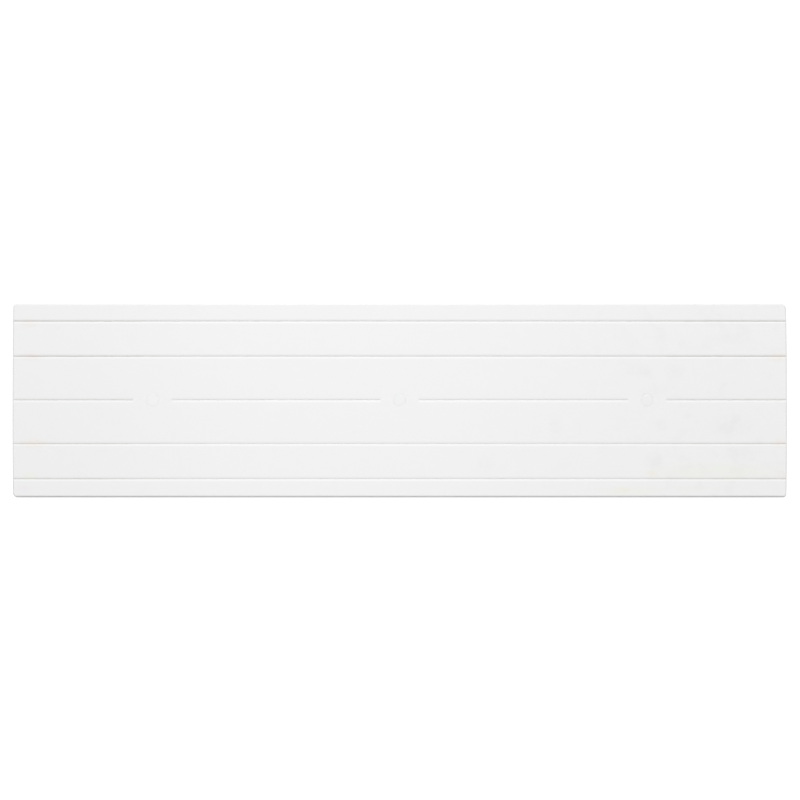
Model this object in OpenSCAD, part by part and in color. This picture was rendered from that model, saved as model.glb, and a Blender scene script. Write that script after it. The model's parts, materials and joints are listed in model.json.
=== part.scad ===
// Domestic diving board, six feet long: a laminated wood core in a moulded white shell.
// The deck shell laps over the pan like a lid, and both are bonded to the core.
// Three bolt stations on the centreline hold the board to its stand.
// Each station has a steel sleeve between two spreader plates, a push-in cap that sits
// just below the deck, and a screwed-on rubber pad on the underside.
// +X points to the nose, +Y to the diver's left, +Z up. The origin is under the
// middle of the board, on the surface that the pads rest on.

/* [Board] */
// Overall length
board_l = 1829; // [1500:1:2400]
// Overall width
board_w = 457; // [360:1:610]
// Thickness of the moulded board, without the pads
board_t = 44; // [40:0.5:60]
// Radius of the four corners, seen from above
corner_r = 9; // [8:0.5:20]
// Radius of the moulded edge round the deck and round the underside
rim_r = 5; // [2:0.5:7]

/* [Shells] */
// Wall of the deck, which holds the grooves
deck_wall = 5; // [4:0.1:6]
// Wall of the skirt that hangs from the deck
skirt_wall = 3.5; // [2.4:0.1:5]
// Height of the skirt, from the seam up to the deck
skirt_h = 22; // [16:0.5:24]
// Open joint below the skirt, which shows as a shadow line
seam_gap = 1.2; // [0.5:0.1:2]
// Wall of the pan
pan_wall = 3; // [2:0.1:4]
// Thickness of each glass laminate bonded to the core
laminate_t = 1.5; // [1:0.1:2]

/* [Grooves] */
// Width of the outermost plank on each side
edge_plank_w = 42; // [34:0.1:50]
// Width of the next plank in, beside the two that share the rest of the deck
side_plank_w = 83.1; // [60:0.1:95]
// Width of a groove across its eased edges
groove_w = 9.6; // [5:0.1:12]
// Width of the slot in the middle of a groove
slot_w = 2.6; // [1.5:0.1:3.6]
// Depth of the eased edges
ease_d = 0.7; // [0.2:0.1:1]
// Depth of the slot
groove_d = 2.4; // [1.2:0.1:2.8]
// Length of the plain land where the centre groove stops at a bolt station
land_l = 93; // [70:1:140]

/* [Bolt stations] */
// Distance from one bolt station to the next
bolt_pitch = 584.2; // [450:0.1:620]
// Bolt hole, for a half-inch bolt
bolt_hole_d = 13.5; // [11:0.1:16.5]
// Wall of the sleeve's neck
neck_wall = 3.25; // [2:0.05:4]
// Inside of the cup that takes the bolt's head
cup_d = 24; // [22:0.5:30]
// Depth of the cup below its flange
cup_depth = 18; // [14:0.5:20]
// Wall and floor of the cup
cup_wall = 2; // [1.5:0.1:3]
// Width of the flange round the top of the cup
flange_w = 9; // [5:0.5:12]
// Spreader plate, along the board
plate_l = 110; // [80:1:150]
// Spreader plate, across the board
plate_w = 70; // [60:1:100]
// Thickness of a spreader plate
plate_t = 4; // [3:0.5:5]

/* [Caps] */
// How far the cap's disc laps over the cup's rim, all round
cap_lap = 2; // [1.5:0.1:4]
// Gap between the disc and the hole in the deck
cap_gap = 0.4; // [0.3:0.05:1]
// How far the disc sits below the deck
cap_sink = 0.6; // [0:0.1:1.2]
// Thickness of the disc over the hollow of its plug
disc_t = 2.2; // [1.4:0.1:2.6]
// Height of the plug below the disc
plug_h = 8.5; // [7:0.5:10]
// Wall of the plug behind the seal's groove
plug_wall = 1.5; // [1:0.1:2]
// Running gap between the plug and the cup
plug_gap = 0.4; // [0.35:0.05:0.8]
// Cord of the seal ring
seal_cord_d = 1.8; // [1.2:0.1:2.4]
// Width of the notch that a screwdriver lifts the cap by
notch_w = 6; // [4:0.5:10]

/* [Core] */
// Number of stringers, which is odd so that one lies under the bolts
stringer_count = 11; // [7:2:15]
// Length of the cross-grain block at each end
end_block_l = 60; // [40:1:100]
// Bonding gap round whatever is let into the core
bond_gap = 0.15; // [0.1:0.05:0.4]

/* [Pads] */
// Thickness of a pad
pad_t = 5; // [4:0.5:8]
// Pad along the board
pad_l = 76; // [70:1:120]
// Distance from the board's side to a pad's end
pad_inset = 38; // [25:1:60]
// Ribs across the underside of a pad
rib_count = 7; // [5:2:9]
// Depth of the channels between the ribs
rib_d = 1.2; // [0.6:0.1:1.8]
// Distance of a screw from the pad's long edge, and the least from its short end
screw_inset = 11; // [10:0.5:14]
// Shank of a screw
screw_d = 5; // [4:0.5:6]
// Length of a screw under its head
screw_l = 20; // [16:1:24]
// Head of a screw
screw_head_d = 10; // [9:0.5:12]
// Height of a screw's head
screw_head_h = 2; // [1.5:0.1:2.4]
// Depth of a head's recess above the head's own height
screw_sink = 0.6; // [0.4:0.1:1]

/* [Hidden] */
$fn = 64;
arc_steps = 6;      // straight pieces in a quarter of a moulded edge
proud = 1;          // how far a cutting tool stands out of what it cuts
hole_play = 0.1;    // gap round a screw and round a sleeve's neck
slot_taper = 0.7;   // width of a slot's floor as a share of its mouth
seal_land = 2.1;    // plug above the seal's groove
seal_stand = 0.1;   // how far the seal stands out of its groove
notch_d = 1.6;      // depth of a cap's notch, in from its edge and down
disc_chamfer = 0.5;
plate_r = 6;
pad_r = 8;
neck_relief = 2;    // gap between a pad and the sleeve that passes it

z_base = pad_t;                        // underside of the board
z_deck = pad_t + board_t;
z_seam = z_deck - skirt_h;             // foot of the skirt
z_ceiling = z_deck - deck_wall;        // underside of the deck
z_floor = z_base + pan_wall;           // inside of the pan
z_core_low = z_floor + laminate_t;
z_core_high = z_ceiling - laminate_t;
z_cup_floor = z_ceiling - cup_depth;

core_l = board_l - 2 * (skirt_wall + pan_wall);
core_w = board_w - 2 * (skirt_wall + pan_wall);
core_r = max(corner_r - skirt_wall - pan_wall, 1);
lap_r = max(corner_r - skirt_wall, 1);
stringer_l = core_l - 2 * end_block_l;
stringer_w = core_w / stringer_count;

neck_r = bolt_hole_d / 2 + neck_wall;
cup_outer_r = cup_d / 2 + cup_wall;
flange_r = cup_outer_r + flange_w;
cap_r = cup_d / 2 + cap_lap;
plug_r = cup_d / 2 - plug_gap;
seal_r = plug_r + seal_stand - seal_cord_d / 2; // centreline radius of the seal ring
seal_groove_h = seal_cord_d / 2 + hole_play;    // half the height of its groove
seal_z = z_ceiling - seal_land - seal_groove_h;
pad_w = board_w - 2 * pad_inset;
screw_x = pad_l / 2 - screw_inset;
// The screws bite into the middle of the outermost stringer that the pad covers
screw_y = floor((pad_w / 2 - screw_inset) / stringer_w) * stringer_w;
z_screw_head = screw_head_h + screw_sink; // underside of the sheet that a head bears on

stations = ["tail", "mid", "nose"];
groove_y = [board_w / 2 - edge_plank_w - side_plank_w, board_w / 2 - edge_plank_w];

function station_x(i) = (i - 1) * bolt_pitch;
// Glue line on the +Y side of stringer i, to a hundredth so that neighbours share it exactly
function glue_y(i) = round(100 * (i * stringer_w - core_w / 2)) / 100;
function stringer_name(i) = str("core_stringer_", i < 10 ? "0" : "", i);
function per_station(name) = [for (s = stations) str(name, "_", s)];

// ---- Shapes that repeat ----

// Points of a quarter round that ends a wall at x = reach and a top at y = height
function quarter_round(reach, height, r) = [
    for (i = [0:arc_steps])
        let (a = 90 * i / arc_steps)
        [reach - r + r * cos(a), height - r + r * sin(a)]
];

// Section across a moulding, rounded at both top edges
function arch(half, height, r) =
    let (right = quarter_round(half, height, r))
    concat([[-half, 0], [half, 0]], right, [for (i = [arc_steps:-1:0]) [-right[i][0], right[i][1]]]);

// Outline of a rectangle with round corners
function outline(l, w, r) = [
    for (q = [0:3], i = [0:arc_steps])
        let (a = 90 * (q + i / arc_steps), sx = (q == 0 || q == 3) ? 1 : -1, sy = q < 2 ? 1 : -1)
        [sx * (l / 2 - r) + r * cos(a), sy * (w / 2 - r) + r * sin(a)]
];

module along_x(l) rotate([90, 0, 90]) linear_extrude(l, center = true) children();

module along_y(w) rotate([90, 0, 0]) linear_extrude(w, center = true) children();

// Flat slab with square edges
module slab(l, w, r, z0, z1) {
    translate([0, 0, z0]) linear_extrude(z1 - z0) polygon(outline(l, w, r));
}

// Slab whose top edge is rounded all the way round, standing on z = 0
module moulding(l, w, h, corner, rim) {
    along_x(l - 2 * corner) polygon(arch(w / 2, h, rim));
    along_y(w - 2 * corner) polygon(arch(l / 2, h, rim));
    for (q = [0:3]) {
        sx = (q == 0 || q == 3) ? 1 : -1;
        sy = q < 2 ? 1 : -1;
        translate([sx * (l / 2 - corner), sy * (w / 2 - corner), 0])
            rotate([0, 0, 90 * q])
                rotate_extrude(angle = 90)
                    polygon(concat([[0, 0], [corner, 0]], quarter_round(corner, h, rim), [[0, h]]));
    }
}

module at_station(i) translate([station_x(i), 0, 0]) children();

module at_every_station() for (i = [0:len(stations) - 1]) at_station(i) children();

module at_pad_screws() {
    for (x = [-screw_x, screw_x], y = [-screw_y, screw_y]) translate([x, y, 0]) children();
}

// Round hole or rod between two heights
module rod(r, z0, z1) translate([0, 0, z0]) cylinder(h = z1 - z0, r = r);

// ---- Grooves of the deck ----

// Section of a groove, its mouth at y = 0, with the tool standing proud above it
function groove_half() = [
    [0, -groove_d], [slot_w / 2 * slot_taper, -groove_d], [slot_w / 2, -ease_d],
    [groove_w / 2, 0], [groove_w / 2, proud], [0, proud]
];
function groove_section() =
    let (h = groove_half())
    concat([for (i = [1:4]) h[i]], [for (i = [4:-1:1]) [-h[i][0], h[i][1]]]);

module groove(x0, x1, y) {
    translate([(x0 + x1) / 2, y, z_deck]) along_x(x1 - x0) polygon(groove_section());
}

// Half-round run-out of a groove that stops at x; toward is 1 if it stops on its +X side
module groove_end(x, toward) {
    translate([x, 0, z_deck])
        rotate([0, 0, -90 * toward])
            rotate_extrude(angle = 180)
                polygon(groove_half());
}

module grooves() {
    run = board_l / 2 + proud;
    stop = land_l / 2 + slot_w / 2;
    for (y = groove_y, side = [-1, 1]) groove(-run, run, side * y);
    groove(-run, station_x(0) - stop, 0);
    groove(station_x(0) + stop, station_x(1) - stop, 0);
    groove(station_x(1) + stop, station_x(2) - stop, 0);
    groove(station_x(2) + stop, run, 0);
    for (i = [0:2]) {
        groove_end(station_x(i) - stop, 1);
        groove_end(station_x(i) + stop, -1);
    }
}

// ---- Shells and laminates ----

module deck_shell() {
    color("whitesmoke") difference() {
        translate([0, 0, z_seam]) moulding(board_l, board_w, skirt_h, corner_r, rim_r);
        slab(board_l - 2 * skirt_wall, board_w - 2 * skirt_wall, lap_r, z_seam - proud, z_ceiling);
        grooves();
        at_every_station() rod(cap_r + cap_gap, z_ceiling - proud, z_deck + proud);
    }
}

module pan_shell() {
    visible_h = z_seam - seam_gap - z_base;
    color("whitesmoke") difference() {
        union() {
            translate([0, 0, z_base + visible_h]) mirror([0, 0, 1])
                moulding(board_l, board_w, visible_h, corner_r, rim_r);
            slab(board_l - 2 * skirt_wall, board_w - 2 * skirt_wall, lap_r, z_base + rim_r, z_ceiling);
        }
        slab(core_l, core_w, core_r, z_floor, z_ceiling + proud);
        at_every_station() {
            rod(neck_r + hole_play, z_base - proud, z_floor + proud);
            at_pad_screws() rod(screw_d / 2 + hole_play, z_base - proud, z_floor + proud);
        }
    }
}

module deck_laminate() {
    color("darkseagreen") difference() {
        slab(core_l, core_w, core_r, z_core_high, z_ceiling);
        at_every_station() rod(flange_r + bond_gap, z_core_high - proud, z_ceiling + proud);
    }
}

module pan_laminate() {
    color("darkseagreen") difference() {
        slab(core_l, core_w, core_r, z_floor, z_core_low);
        at_every_station() {
            rod(neck_r + hole_play, z_floor - proud, z_core_low + proud);
            at_pad_screws() rod(screw_d / 2 + hole_play, z_floor - proud, z_core_low + proud);
        }
    }
}

// ---- Core ----

// Everything that is let into the core
module core_pockets() {
    l = plate_l + 2 * bond_gap;
    w = plate_w + 2 * bond_gap;
    at_every_station() {
        slab(l, w, plate_r, z_core_high - plate_t - bond_gap, z_core_high + proud);
        slab(l, w, plate_r, z_core_low - proud, z_core_low + plate_t + bond_gap);
        rod(cup_outer_r + bond_gap, z_cup_floor - cup_wall - bond_gap, z_core_high);
        rod(neck_r + hole_play, z_core_low, z_core_high);
        at_pad_screws() rod(screw_d / 2 + hole_play, z_core_low - proud, z_screw_head + screw_l + 1);
    }
}

// Stringer number i, counted from the board's right-hand side
module core_stringer(i) {
    color("burlywood") difference() {
        translate([-stringer_l / 2, glue_y(i - 1), z_core_low])
            cube([stringer_l, glue_y(i) - glue_y(i - 1), z_core_high - z_core_low]);
        core_pockets();
    }
}

// Cross-grain block at the end on side -1 or 1
module end_block(side) {
    color("tan") intersection() {
        slab(core_l, core_w, core_r, z_core_low, z_core_high);
        translate([side * (core_l - end_block_l) / 2, 0, (z_core_low + z_core_high) / 2])
            cube([end_block_l, core_w, board_t], center = true);
    }
}

// ---- Bolt stations ----

// Flanged cup for the bolt's head on a neck that the bolt passes down
module bolt_sleeve(i) {
    r = bolt_hole_d / 2;
    z_step = z_cup_floor - cup_wall;
    color("silver") at_station(i) rotate_extrude() polygon([
        [r, z_base], [neck_r, z_base], [neck_r, z_step], [cup_outer_r, z_step],
        [cup_outer_r, z_core_high], [flange_r, z_core_high], [flange_r, z_ceiling],
        [cup_d / 2, z_ceiling], [cup_d / 2, z_cup_floor], [r, z_cup_floor]
    ]);
}

module deck_plate(i) {
    color("gray") at_station(i) difference() {
        slab(plate_l, plate_w, plate_r - bond_gap, z_core_high - plate_t, z_core_high);
        rod(cup_outer_r + hole_play, z_core_high - plate_t - proud, z_core_high + proud);
    }
}

module pan_plate(i) {
    color("gray") at_station(i) difference() {
        slab(plate_l, plate_w, plate_r - bond_gap, z_core_low, z_core_low + plate_t);
        rod(neck_r + hole_play, z_core_low - proud, z_core_low + plate_t + proud);
    }
}

// Disc just below the deck on a hollow plug that carries the seal
module hole_cap(i) {
    r = cap_r;
    z_foot = z_ceiling - plug_h;
    z_top = z_deck - cap_sink;
    groove_r = seal_r - seal_cord_d / 2;
    inner_r = groove_r - plug_wall;
    color("white") at_station(i) difference() {
        rotate_extrude() polygon([
            [0, z_top - disc_t], [inner_r, z_top - disc_t], [inner_r, z_foot], [plug_r, z_foot],
            [plug_r, seal_z - seal_groove_h], [groove_r, seal_z - seal_groove_h],
            [groove_r, seal_z + seal_groove_h], [plug_r, seal_z + seal_groove_h],
            [plug_r, z_ceiling], [r, z_ceiling], [r, z_top - disc_chamfer],
            [r - disc_chamfer, z_top], [0, z_top]
        ]);
        translate([0, -r, z_top]) cube([notch_w, 2 * notch_d, 2 * notch_d], center = true);
    }
}

module cap_seal(i) {
    color("dimgray") at_station(i)
        rotate_extrude() translate([seal_r, seal_z]) circle(d = seal_cord_d);
}

// ---- Pads ----

module rubber_pad(i) {
    recess_r = screw_head_d / 2 + screw_sink;
    rib_pitch = pad_l / rib_count;
    rib_l = 2 * (screw_y - recess_r - rib_pitch);
    color("dimgray") at_station(i) difference() {
        slab(pad_l, pad_w, pad_r, 0, z_base);
        for (k = [1:rib_count - 1])
            translate([-pad_l / 2 + k * rib_pitch, 0, 0])
                cube([rib_pitch / 3, rib_l, 2 * rib_d], center = true);
        rod(neck_r + neck_relief, -proud, z_base + proud);
        at_pad_screws() {
            rod(recess_r, -proud, z_screw_head);
            rod(screw_d / 2 + hole_play, 0, z_base + proud);
        }
    }
}

// The four screws of one pad, each with a chamfered point
module pad_screws(i) {
    r = screw_d / 2;
    z_tip = z_screw_head + screw_l;
    color("silver") at_station(i) at_pad_screws() rotate_extrude() polygon([
        [0, screw_sink], [screw_head_d / 2, screw_sink], [screw_head_d / 2, z_screw_head],
        [r, z_screw_head], [r, z_tip - r], [0, z_tip]
    ]);
}

// ---- Assembly ----

deck_shell();
pan_shell();
deck_laminate();
pan_laminate();
end_block(-1);  // tail_block
end_block(1);  // nose_block
for (i = [1:stringer_count]) {
    core_stringer(i);
}
for (i = [0:len(stations) - 1]) {
    bolt_sleeve(i);
    deck_plate(i);
    pan_plate(i);
    hole_cap(i);
    cap_seal(i);
    rubber_pad(i);
    pad_screws(i);
}
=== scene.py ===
# %% [markdown]
# # A domestic diving board, piece by piece
# A diving board of this kind is a sandwich. A white moulded deck and a white moulded pan close round a
# core of softwood, three steel cups take the bolts, a cap hides each bolt, and three ribbed rubber pads
# keep the board off its stand. The sizes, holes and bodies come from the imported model, which is loaded
# first and never changed. Everything below dresses that frame, one piece to a step.

# %% Load the frame
import json
import math
import bmesh
import bpy
from mathutils import Matrix, Vector


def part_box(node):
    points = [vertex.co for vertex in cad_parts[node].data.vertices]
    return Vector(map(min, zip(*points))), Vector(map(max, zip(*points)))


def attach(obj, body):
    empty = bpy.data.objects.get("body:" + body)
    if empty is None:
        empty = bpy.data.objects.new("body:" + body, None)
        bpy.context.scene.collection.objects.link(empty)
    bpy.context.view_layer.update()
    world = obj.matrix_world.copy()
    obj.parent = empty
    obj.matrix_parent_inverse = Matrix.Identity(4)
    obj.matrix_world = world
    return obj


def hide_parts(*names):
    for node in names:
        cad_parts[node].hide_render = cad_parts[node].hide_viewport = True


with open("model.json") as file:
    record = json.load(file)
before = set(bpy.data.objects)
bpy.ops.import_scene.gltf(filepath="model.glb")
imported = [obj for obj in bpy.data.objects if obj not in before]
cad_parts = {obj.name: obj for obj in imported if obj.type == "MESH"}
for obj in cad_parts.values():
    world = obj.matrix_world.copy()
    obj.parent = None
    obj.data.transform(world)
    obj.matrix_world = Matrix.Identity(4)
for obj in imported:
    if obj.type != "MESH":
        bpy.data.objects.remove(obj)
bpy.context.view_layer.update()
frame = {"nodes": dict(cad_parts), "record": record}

# %% [markdown]
# ## Where things are
# Positions are read from the frame, so that a piece made here meets its neighbours without any fitting.
# Each bolt hole is a mount in the record, which gives its place along the board. The heights are the
# edges of the boxes round the CAD nodes. What a box can't say, such as a wall's thickness, is given as a
# number in the cell that needs it.

# %% Stations and heights
MM = 0.001
SUFFIX = "_bolt_hole"
station_x = {
    mount["name"][: -len(SUFFIX)]: mount["pos_m"][0]
    for mount in frame["record"]["mounts"]
    if mount["name"].endswith(SUFFIX)
}
deck_lo, deck_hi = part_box("deck_shell")
pan_lo, pan_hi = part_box("pan_shell")
half_l = deck_hi.x
half_w = deck_hi.y
z_deck = deck_hi.z
z_seam = deck_lo.z
z_ceiling = pan_hi.z
z_base = pan_lo.z
print("stations", station_x, "deck at", round(z_deck / MM, 1), "mm")

# %% [markdown]
# ## Camera
# The board is looked at from above, with a very long lens from far off, so that its edges stay parallel.
# The camera leans a little towards -Y, which leaves a thin dark line of the near side wall below the
# deck and hides the other three. A new camera looks down its own -Z axis already, so it only has to be
# turned about X and moved back along its own line of sight from the middle of the deck. The lens follows
# from how much of the deck's plane is in view. The camera also stands a hair towards the nose, because the
# board lies a hair to the other side of the middle of the view.

# %% Make the camera
CAMERA_DISTANCE = 30
CAMERA_LEAN = math.radians(2.5)
CAMERA_ASIDE = 0.7 * MM
FRAME_WIDTH = 1.89
SENSOR = 36
camera_data = bpy.data.cameras.new("deck_camera")
camera_data.sensor_width = SENSOR
camera_data.lens = SENSOR * CAMERA_DISTANCE / FRAME_WIDTH
camera = bpy.data.objects.new("deck_camera", camera_data)
bpy.context.scene.collection.objects.link(camera)
bpy.context.scene.camera = camera
camera.location = (
    CAMERA_ASIDE,
    -CAMERA_DISTANCE * math.sin(CAMERA_LEAN),
    z_deck + CAMERA_DISTANCE * math.cos(CAMERA_LEAN),
)
camera.rotation_euler = (CAMERA_LEAN, 0, 0)
print("camera: lens", round(camera_data.lens, 1), "mm")

# %% [markdown]
# ## Light
# White on white only reads by its shading, so the light is mostly a soft fill from the whole sky, with
# one large soft lamp towards +Y to draw the grooves. An even sky would make the sides as bright as the
# deck, so the fill is strongest overhead and fades towards the horizon. The plain "Standard" view shows
# colours as they are.

# %% Light the stage
scene = bpy.context.scene
scene.view_settings.view_transform = "Standard"
FILL_LOW = 0.42
FILL_HIGH = 0.88
LAMP_POWER = 490
LAMP_SIZE = 4.3
LAMP_DISTANCE = 10
LAMP_LEAN = math.radians(40)
world = bpy.data.worlds.new("overhead_fill")
world.use_nodes = True
sky = world.node_tree
direction = sky.nodes.new("ShaderNodeTexCoord")
height = sky.nodes.new("ShaderNodeSeparateXYZ")
fade = sky.nodes.new("ShaderNodeMapRange")
fade.inputs["To Min"].default_value = FILL_LOW
fade.inputs["To Max"].default_value = FILL_HIGH
sky.links.new(direction.outputs["Generated"], height.inputs[0])
sky.links.new(height.outputs["Z"], fade.inputs["Value"])
sky.links.new(fade.outputs[0], sky.nodes["Background"].inputs["Strength"])
sky.nodes["Background"].inputs["Color"].default_value = (1, 1, 1, 1)
scene.world = world
lamp_data = bpy.data.lights.new("soft_lamp", "AREA")
lamp_data.energy = LAMP_POWER
lamp_data.size = LAMP_SIZE
lamp = bpy.data.objects.new("soft_lamp", lamp_data)
scene.collection.objects.link(lamp)
lamp.location = LAMP_DISTANCE * Vector((0, math.sin(LAMP_LEAN), math.cos(LAMP_LEAN)))
lamp.rotation_euler = (-LAMP_LEAN, 0, 0)
print("lamp", LAMP_POWER, "W,", LAMP_DISTANCE, "m away")

# %% [markdown]
# ## A helper for finishes
# A finish is a material made of nodes. Writing out every node and link hides the idea, so a small class
# keeps one material open and gives each kind of node a short method, which returns the new socket. All
# patterns read Object coordinates: every piece sits at the origin with its place in its mesh, so those
# are metres in the board's own frame, and a pattern stays put when a cap moves or the camera does.

# %% The finish helper
class Finish:
    """A material that is being made: each method adds a node and returns its output socket."""

    def __init__(self, name, **constants):
        self.material = bpy.data.materials.new(name)
        self.material.use_nodes = True
        self.tree = self.material.node_tree
        self.shader = self.tree.nodes["Principled BSDF"]
        for socket, value in constants.items():
            self.shader.inputs[socket.replace("_", " ")].default_value = value
        self.place = self.node("ShaderNodeTexCoord").outputs["Object"]
        split = self.node("ShaderNodeSeparateXYZ")
        self.feed(split.inputs[0], self.place)
        self.x, self.y, self.z = split.outputs

    def node(self, kind, **settings):
        made = self.tree.nodes.new(kind)
        for key, value in settings.items():
            setattr(made, key, value)
        return made

    def feed(self, socket, value):
        if isinstance(value, bpy.types.NodeSocket):
            self.tree.links.new(value, socket)
        else:
            socket.default_value = value

    def maths(self, operation, *values):
        made = self.node("ShaderNodeMath", operation=operation)
        for socket, value in zip(made.inputs, values):
            self.feed(socket, value)
        return made.outputs[0]

    def mapped(self, scale=(1, 1, 1), centre=(0, 0, 0), turn=(0, 0, 0)):
        """Object coordinates measured from centre, in units of scale."""
        made = self.node("ShaderNodeMapping", vector_type="TEXTURE")
        self.feed(made.inputs["Vector"], self.place)
        made.inputs["Location"].default_value = centre
        made.inputs["Rotation"].default_value = turn
        made.inputs["Scale"].default_value = scale
        return made.outputs[0]

    def noise(self, size, detail=3, where=None, roughness=0.5):
        """Noise whose lumps are about size metres across."""
        made = self.node("ShaderNodeTexNoise")
        self.feed(made.inputs["Vector"], where or self.place)
        made.inputs["Scale"].default_value = 1 / size
        made.inputs["Detail"].default_value = detail
        made.inputs["Roughness"].default_value = roughness
        return made.outputs[0]

    def spread(self, value, low, high, to_low=0.0, to_high=1.0):
        """Value from low to high becomes to_low to to_high, smoothly, and stops there."""
        made = self.node("ShaderNodeMapRange", interpolation_type="SMOOTHSTEP")
        for socket, number in zip(made.inputs, (value, low, high, to_low, to_high)):
            self.feed(socket, number)
        return made.outputs[0]

    def blend(self, factor, a, b, how="MIX"):
        made = self.node("ShaderNodeMix", data_type="RGBA", blend_type=how)
        colours = [socket for socket in made.inputs if socket.type == "RGBA"]
        self.feed(made.inputs[0], factor)
        self.feed(colours[0], a)
        self.feed(colours[1], b)
        return [socket for socket in made.outputs if socket.type == "RGBA"][0]

    def relief(self, height, depth, after=None):
        """Bump from height 0 to 1, depth metres deep, on top of an earlier bump."""
        made = self.node("ShaderNodeBump")
        made.inputs["Distance"].default_value = depth
        self.feed(made.inputs["Height"], height)
        if after:
            self.feed(made.inputs["Normal"], after)
        return made.outputs[0]

    def done(self, colour, roughness, normal):
        self.feed(self.shader.inputs["Base Color"], colour)
        self.feed(self.shader.inputs["Roughness"], roughness)
        self.feed(self.shader.inputs["Normal"], normal)
        print("finish:", self.material.name, "of", len(self.tree.nodes), "nodes")
        return self.material


def rgb(red, green, blue):
    return (red, green, blue, 1)


# %% [markdown]
# ## Floor
# The floor is a big plane at the height that the pads rest on. It isn't part of the board. It is pale
# grey paper, matt and faintly uneven, and it glows like a light table. The glow lifts it to white and
# keeps the board's shadow pale, but it shows only to rays that come straight from the camera, because
# the board's sides shouldn't be lit by it.

# %% Lay the floor
FLOOR_SIZE = 40
FLOOR_GLOW = 0.7
PAPER_DARK = rgb(0.59, 0.59, 0.59)
PAPER_PALE = rgb(0.61, 0.61, 0.61)
PAPER_ROUGH = 0.9
FIBRE_SIZE = 4 * MM
FIBRE_DEPTH = 0.05 * MM
floor_paint = Finish("pale_paper", Emission_Color=rgb(1, 1, 1))
seen = floor_paint.node("ShaderNodeLightPath").outputs["Is Camera Ray"]
glow = floor_paint.maths("MULTIPLY", seen, FLOOR_GLOW)
floor_paint.feed(floor_paint.shader.inputs["Emission Strength"], glow)
fibres = floor_paint.noise(FIBRE_SIZE)
paper = floor_paint.blend(fibres, PAPER_DARK, PAPER_PALE)
floor_paint.done(paper, PAPER_ROUGH, floor_paint.relief(fibres, FIBRE_DEPTH))
floor_mesh = bmesh.new()
bmesh.ops.create_grid(floor_mesh, x_segments=1, y_segments=1, size=FLOOR_SIZE)
floor_data = bpy.data.meshes.new("floor")
floor_mesh.to_mesh(floor_data)
floor_mesh.free()
floor = bpy.data.objects.new("floor", floor_data)
floor_data.materials.append(floor_paint.material)
scene.collection.objects.link(floor)
print("floor:", 2 * FLOOR_SIZE, "m square")

# %% [markdown]
# ## Finish of the deck
# The deck is white gelcoat with a fine grip texture, sprayed and then left out in the weather. So the
# colour isn't one white: it is mottled with grey towards the nose, a little rusty where water has
# stood in the grooves at both ends, and washed yellow-green along one edge. On top of that, the white is
# painted darker towards both ends, which is painted shade. Each stain is a soft spot, broken up by noise.
# Its row below gives its centre and its reach, both along and across the board in metres, and then the
# colour that the white is multiplied by.

# %% Stains and smudges
STAINS = [
    ((-0.877, 0.182), (0.024, 0.014), (1.0, 0.965, 0.935)),
    ((-0.870, 0.103), (0.030, 0.013), (1.0, 0.945, 0.935)),
    ((-0.865, -0.102), (0.034, 0.013), (1.0, 0.945, 0.885)),
    ((-0.875, -0.180), (0.020, 0.014), (0.990, 1.0, 0.920)),
    ((-0.886, -0.210), (0.026, 0.010), (1.0, 0.960, 1.0)),
    ((0.893, 0.101), (0.024, 0.014), (1.0, 0.955, 0.910)),
    ((0.898, -0.102), (0.022, 0.013), (1.0, 0.960, 0.915)),
    ((0.900, -0.178), (0.016, 0.014), (1.0, 0.955, 0.955)),
    ((0.596, -0.175), (0.018, 0.011), (1.0, 0.970, 0.900)),
    ((0.525, -0.213), (0.020, 0.009), (1.0, 0.975, 0.930)),
    ((0.751, -0.170), (0.170, 0.024), (0.985, 1.0, 0.935)),
    ((0.544, -0.215), (0.080, 0.012), (0.985, 0.995, 0.935)),
    ((0.690, -0.210), (0.065, 0.012), (0.990, 1.0, 0.970)),
]
GREY = (0.973, 0.973, 0.973)
SMUDGES = [
    ((0.560, 0.068), (0.045, 0.022), GREY),
    ((0.650, 0.066), (0.030, 0.022), GREY),
    ((0.780, 0.146), (0.060, 0.018), GREY),
    ((0.780, -0.060), (0.060, 0.030), GREY),
    ((0.603, -0.142), (0.030, 0.022), GREY),
    ((0.808, -0.124), (0.050, 0.018), GREY),
    ((0.202, -0.153), (0.025, 0.025), GREY),
    ((0.367, -0.065), (0.020, 0.028), GREY),
]
print(len(STAINS), "stains and", len(SMUDGES), "smudges")

# %% [markdown]
# The white itself is a blend along the board, from its brightest in the middle to a darker white at
# each end, which is painted shade. The mottling and the stains multiply it, so their order doesn't
# matter. The slots, which lie deepest, are darkened by dirt and by painted shade, most at the two ends.

# %% Weathered white gelcoat, with painted shade
DECK_WHITE = rgb(0.815, 0.815, 0.815)
# The two end whites are painted shade: the deck darkens towards each end.
NOSE_PAINTED_SHADE = rgb(0.787, 0.787, 0.787)
TAIL_PAINTED_SHADE = rgb(0.790, 0.790, 0.790)
MOTTLE_TINT = rgb(0.955, 0.955, 0.955)
# Slot colour: dirt together with painted shade in the deep slots.
SLOT_DIRT_AND_SHADE = rgb(0.87, 0.86, 0.84)
MOTTLE_SIZE = 32 * MM
SPECKLE_SIZE = 12 * MM
GRIP_SIZE = 1.3 * MM
GRIP_DEPTH = 0.032 * MM
WAVE_SIZE = 90 * MM
WAVE_DEPTH = 0.3 * MM
DIRT_AND_SHADE_FROM = z_deck - 0.9 * MM
DIRT_AND_SHADE_FULL = z_deck - 2.2 * MM
deck_gel = Finish("weathered_white_gelcoat_with_painted_shade", Coat_Weight=0.12, Coat_Roughness=0.22)
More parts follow.
